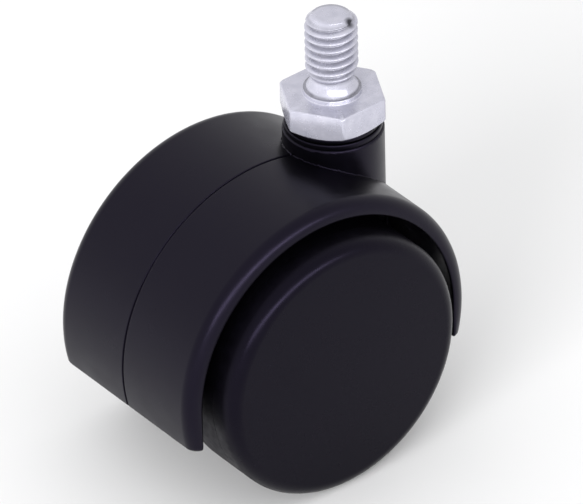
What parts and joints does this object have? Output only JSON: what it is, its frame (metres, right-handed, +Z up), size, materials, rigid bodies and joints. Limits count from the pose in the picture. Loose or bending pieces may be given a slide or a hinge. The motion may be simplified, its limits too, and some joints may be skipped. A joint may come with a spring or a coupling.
{
  "type": "twin wheel chair caster",
  "caption": "Hooded twin-wheel swivel chair caster in black nylon, on a zinc-plated threaded stem with a hex flange.",
  "frame": {"origin": "centre of the hex's top face, where the caster meets the chair leg", "axes": "+Z up along the thread, +X the way the caster leads (the axle trails towards -X), +Y to the left along the axle"},
  "size_m": [0.0612, 0.0476, 0.08],
  "materials": {
    "zinc_plated_steel": "bright zinc plate over turned steel, soft satin sheen",
    "hood_nylon": "satin black moulded nylon, very fine texture",
    "wheel_nylon": "satin black moulded nylon, smooth",
    "bush_nylon": "dark acetal, smooth",
    "plain_steel": "plain bright steel, lightly oiled"
  },
  "bodies": {
    "stem": {"threaded_stem": "zinc_plated_steel", "thrust_washer": "bush_nylon", "retaining_clip": "plain_steel"},
    "swivel": {"hood": "hood_nylon", "neck_bush": "bush_nylon", "thrust_disc": "plain_steel", "axle": "plain_steel", "spacer_left": "plain_steel", "spacer_right": "plain_steel", "axle_clips": "plain_steel"},
    "left_wheel": {"wheel_left": "wheel_nylon", "hub_bush_left": "bush_nylon", "wheel_cap_left": "wheel_nylon"},
    "right_wheel": {"wheel_right": "wheel_nylon", "hub_bush_right": "bush_nylon", "wheel_cap_right": "wheel_nylon"}
  },
  "joints": [
    {"name": "swivel_turn", "type": "hinge", "parent": "stem", "child": "swivel", "pos_m": [0, 0, 0], "axis": [0, 0, 1], "continuous": true},
    {"name": "left_wheel_spin", "type": "hinge", "parent": "swivel", "child": "left_wheel", "pos_m": [-0.0164, 0, -0.0394], "axis": [0, 1, 0], "continuous": true},
    {"name": "right_wheel_spin", "type": "hinge", "parent": "swivel", "child": "right_wheel", "pos_m": [-0.0164, 0, -0.0394], "axis": [0, 1, 0], "continuous": true}
  ]
}
